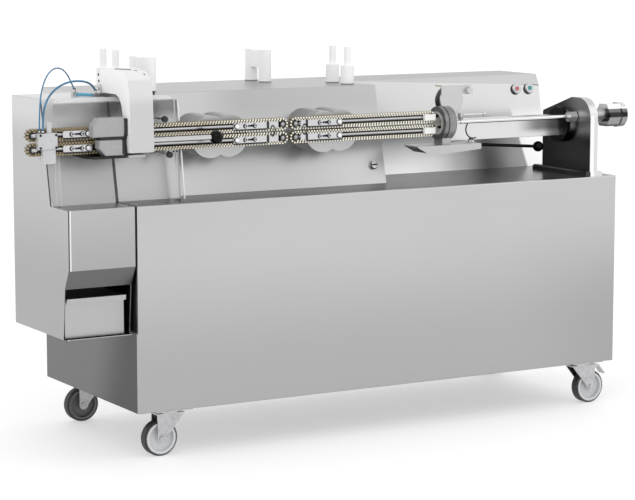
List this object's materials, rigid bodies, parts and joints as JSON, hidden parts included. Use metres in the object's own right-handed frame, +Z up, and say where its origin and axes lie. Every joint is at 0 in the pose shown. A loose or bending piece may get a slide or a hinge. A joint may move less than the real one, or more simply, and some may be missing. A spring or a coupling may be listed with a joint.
{
  "type": "sausage linker",
  "caption": "Wheeled stainless linker with paired toothed-belt conveyors, a hinged separator hood, a brake head with inlet, and a catch drawer",
  "frame": {"origin": "on the floor, under the middle of the machine's bounding box", "axes": "+X to the machine's right end, where the inlet is; +Y to the back; +Z up"},
  "size_m": [2.447, 0.784, 1.371],
  "materials": {
    "stainless": "brushed stainless sheet",
    "polished_steel": "polished",
    "satin_aluminium": "satin cast and machined",
    "dark_ring": "dark knurled steel",
    "white_plastic": "moulded, food grade",
    "black_plastic": "glossy moulded",
    "belt": "matt food-grade belt",
    "wheel": "black tyre on a grey disc",
    "clear_sheet": "clear sheet",
    "pale_bezel": "moulded",
    "red": "moulded",
    "green": "moulded",
    "hose": "extruded air tube"
  },
  "bodies": {
    "machine": {"air_hoses": "hose", "base_frame": "stainless", "brake_arm": "stainless", "button_bezels": "pale_bezel", "cabinet_panels": "stainless", "caster_plates": "stainless", "control_housing": "stainless", "conveyor_rails": "stainless", "deck_plate": "stainless", "end_block": "white_plastic", "extension_shell": "stainless", "front_panel": "stainless", "hood_bracket": "stainless", "hose_fittings": "stainless", "jaw_tray": "stainless", "lower_jaw": "white_plastic", "main_housing": "stainless", "nose_blocks": "white_plastic", "right_bracket": "stainless", "round_cover": "satin_aluminium", "spare_horn_rests": "stainless", "splash_guard": "clear_sheet", "support_bosses": "satin_aluminium", "tension_blocks": "stainless", "toothed_belts": "belt"},
    "drawer": {"drawer": "stainless"},
    "hood": {"hood_shell": "white_plastic", "hood_handle": "black_plastic", "upper_jaw": "white_plastic"},
    "horn": {"horn": "polished_steel"},
    "union_nut": {"union_nut": "polished_steel"},
    "brake_carriage": {"brake_housing": "dark_ring"},
    "brake_rotor": {"brake_ring": "dark_ring"},
    "brake_lever": {"brake_lever": "black_plastic"},
    "clamp_lever": {"clamp_lever": "black_plastic"},
    "wing_knob": {"wing_knob": "black_plastic"},
    "red_button": {"red_button": "red"},
    "green_button": {"green_button": "green"},
    "panel_latch": {"panel_latch": "stainless"},
    "thumb_screw_upper": {"thumb_screw_upper": "stainless"},
    "thumb_screw_lower": {"thumb_screw_lower": "stainless"},
    "brake_pedal": {"brake_pedal": "stainless"},
    "fork_front_left": {"caster_fork_front_left": "stainless"},
    "wheel_front_left": {"caster_wheel_front_left": "wheel"},
    "fork_rear_left": {"caster_fork_rear_left": "stainless"},
    "wheel_rear_left": {"caster_wheel_rear_left": "wheel"},
    "fork_front_right": {"caster_fork_front_right": "stainless"},
    "wheel_front_right": {"caster_wheel_front_right": "wheel"},
    "fork_rear_right": {"caster_fork_rear_right": "stainless"},
    "wheel_rear_right": {"caster_wheel_rear_right": "wheel"},
    "pulley_upper_left_a": {"pulley_upper_left_a": "white_plastic"},
    "pulley_upper_left_b": {"pulley_upper_left_b": "white_plastic"},
    "pulley_upper_right_a": {"pulley_upper_right_a": "white_plastic"},
    "pulley_upper_right_b": {"pulley_upper_right_b": "white_plastic"},
    "pulley_lower_left_a": {"pulley_lower_left_a": "white_plastic"},
    "pulley_lower_left_b": {"pulley_lower_left_b": "white_plastic"},
    "pulley_lower_right_a": {"pulley_lower_right_a": "white_plastic"},
    "pulley_lower_right_b": {"pulley_lower_right_b": "white_plastic"}
  },
  "joints": [
    {"name": "swivel_front_left", "type": "hinge", "parent": "machine", "child": "fork_front_left", "pos_m": [-0.7305, -0.327, 0.1487], "axis": [0, 0, 1], "continuous": true},
    {"name": "roll_front_left", "type": "hinge", "parent": "fork_front_left", "child": "wheel_front_left", "pos_m": [-0.7655, -0.327, 0.0625], "axis": [0, 1, 0], "continuous": true},
    {"name": "swivel_rear_left", "type": "hinge", "parent": "machine", "child": "fork_rear_left", "pos_m": [-0.7305, 0.327, 0.1487], "axis": [0, 0, 1], "continuous": true},
    {"name": "roll_rear_left", "type": "hinge", "parent": "fork_rear_left", "child": "wheel_rear_left", "pos_m": [-0.7655, 0.327, 0.0625], "axis": [0, 1, 0], "continuous": true},
    {"name": "swivel_front_right", "type": "hinge", "parent": "machine", "child": "fork_front_right", "pos_m": [1.0225, -0.327, 0.1487], "axis": [0, 0, 1], "continuous": true},
    {"name": "roll_front_right", "type": "hinge", "parent": "fork_front_right", "child": "wheel_front_right", "pos_m": [1.0575, -0.327, 0.0625], "axis": [0, 1, 0], "continuous": true},
    {"name": "swivel_rear_right", "type": "hinge", "parent": "machine", "child": "fork_rear_right", "pos_m": [1.0225, 0.327, 0.1487], "axis": [0, 0, 1], "continuous": true},
    {"name": "roll_rear_right", "type": "hinge", "parent": "fork_rear_right", "child": "wheel_rear_right", "pos_m": [1.0575, 0.327, 0.0625], "axis": [0, 1, 0], "continuous": true},
    {"name": "brake_pedal_press", "type": "hinge", "parent": "fork_front_right", "child": "brake_pedal", "pos_m": [1.0825, -0.327, 0.1407], "axis": [0, 1, 0], "range_deg": [0, 14]},
    {"name": "drawer_slide", "type": "slide", "parent": "machine", "child": "drawer", "axis": [0, -1, 0], "range_m": [0, 0.25]},
    {"name": "hood_hinge", "type": "hinge", "parent": "machine", "child": "hood", "pos_m": [-0.8375, -0.13, 1.256], "axis": [-1, 0, 0], "range_deg": [0, 70]},
    {"name": "horn_spin", "type": "hinge", "parent": "machine", "child": "horn", "pos_m": [0.7295, -0.288, 1.096], "axis": [1, 0, 0], "continuous": true},
    {"name": "rotor_spin", "type": "hinge", "parent": "brake_carriage", "child": "brake_rotor", "pos_m": [0.4095, -0.288, 1.096], "axis": [1, 0, 0], "continuous": true},
    {"name": "brake_lever_turn", "type": "hinge", "parent": "machine", "child": "brake_lever", "pos_m": [0.5815, -0.224, 1.005], "axis": [0, 0, -1], "range_deg": [0, 45]},
    {"name": "brake_slide", "type": "slide", "parent": "machine", "child": "brake_carriage", "axis": [1, 0, 0], "range_m": [0, 0.012]},
    {"name": "clamp_lever_turn", "type": "hinge", "parent": "machine", "child": "clamp_lever", "pos_m": [0.5415, -0.214, 1.108], "axis": [0, 0, 1], "range_deg": [0, 60]},
    {"name": "wing_knob_turn", "type": "hinge", "parent": "machine", "child": "wing_knob", "pos_m": [0.5595, -0.241, 1.206], "axis": [0, -1, 0], "continuous": true},
    {"name": "union_nut_turn", "type": "hinge", "parent": "machine", "child": "union_nut", "pos_m": [1.1415, -0.288, 1.096], "axis": [1, 0, 0], "continuous": true},
    {"name": "red_button_press", "type": "slide", "parent": "machine", "child": "red_button", "axis": [0, 0.9836, -0.1801], "range_m": [0, 0.003], "stiffness_N_per_m": 300},
    {"name": "green_button_press", "type": "slide", "parent": "machine", "child": "green_button", "axis": [0, 0.9836, -0.1801], "range_m": [0, 0.003], "stiffness_N_per_m": 300},
    {"name": "panel_latch_turn", "type": "hinge", "parent": "machine", "child": "panel_latch", "pos_m": [0.1935, -0.16552, 0.942], "axis": [0, -0.9743, 0.2251], "range_deg": [0, 90]},
    {"name": "thumb_screw_upper_turn", "type": "hinge", "parent": "machine", "child": "thumb_screw_upper", "pos_m": [-0.7205, -0.296, 1.156], "axis": [0, 1, 0], "continuous": true},
    {"name": "thumb_screw_lower_turn", "type": "hinge", "parent": "machine", "child": "thumb_screw_lower", "pos_m": [-0.7035, -0.296, 1.034], "axis": [0, 1, 0], "continuous": true},
    {"name": "pulley_upper_left_a_spin", "type": "hinge", "parent": "machine", "child": "pulley_upper_left_a", "pos_m": [-1.2035, -0.288, 1.12], "axis": [0, 1, 0], "continuous": true},
    {"name": "pulley_upper_left_b_spin", "type": "hinge", "parent": "machine", "child": "pulley_upper_left_b", "pos_m": [-0.2615, -0.288, 1.12], "axis": [0, 1, 0], "continuous": true},
    {"name": "pulley_upper_right_a_spin", "type": "hinge", "parent": "machine", "child": "pulley_upper_right_a", "pos_m": [-0.2095, -0.288, 1.12], "axis": [0, 1, 0], "continuous": true},
    {"name": "pulley_upper_right_b_spin", "type": "hinge", "parent": "machine", "child": "pulley_upper_right_b", "pos_m": [0.3535, -0.288, 1.12], "axis": [0, 1, 0], "continuous": true},
    {"name": "pulley_lower_left_a_spin", "type": "hinge", "parent": "machine", "child": "pulley_lower_left_a", "pos_m": [-1.2035, -0.288, 1.072], "axis": [0, 1, 0], "continuous": true},
    {"name": "pulley_lower_left_b_spin", "type": "hinge", "parent": "machine", "child": "pulley_lower_left_b", "pos_m": [-0.2615, -0.288, 1.072], "axis": [0, 1, 0], "continuous": true},
    {"name": "pulley_lower_right_a_spin", "type": "hinge", "parent": "machine", "child": "pulley_lower_right_a", "pos_m": [-0.2095, -0.288, 1.072], "axis": [0, 1, 0], "continuous": true},
    {"name": "pulley_lower_right_b_spin", "type": "hinge", "parent": "machine", "child": "pulley_lower_right_b", "pos_m": [0.3535, -0.288, 1.072], "axis": [0, 1, 0], "continuous": true}
  ],
  "couplings": [
    {"joint": "rotor_spin", "follows": "horn_spin", "ratio": 1},
    {"joint": "brake_slide", "follows": "brake_lever_turn", "m_per_rad": 0.015264},
    {"joint": "pulley_upper_left_b_spin", "follows": "pulley_upper_left_a_spin", "ratio": 1},
    {"joint": "pulley_upper_right_a_spin", "follows": "pulley_upper_left_a_spin", "ratio": 1},
    {"joint": "pulley_upper_right_b_spin", "follows": "pulley_upper_left_a_spin", "ratio": 1},
    {"joint": "pulley_lower_left_a_spin", "follows": "pulley_upper_left_a_spin", "ratio": -1},
    {"joint": "pulley_lower_left_b_spin", "follows": "pulley_upper_left_a_spin", "ratio": -1},
    {"joint": "pulley_lower_right_a_spin", "follows": "pulley_upper_left_a_spin", "ratio": -1},
    {"joint": "pulley_lower_right_b_spin", "follows": "pulley_upper_left_a_spin", "ratio": -1}
  ]
}
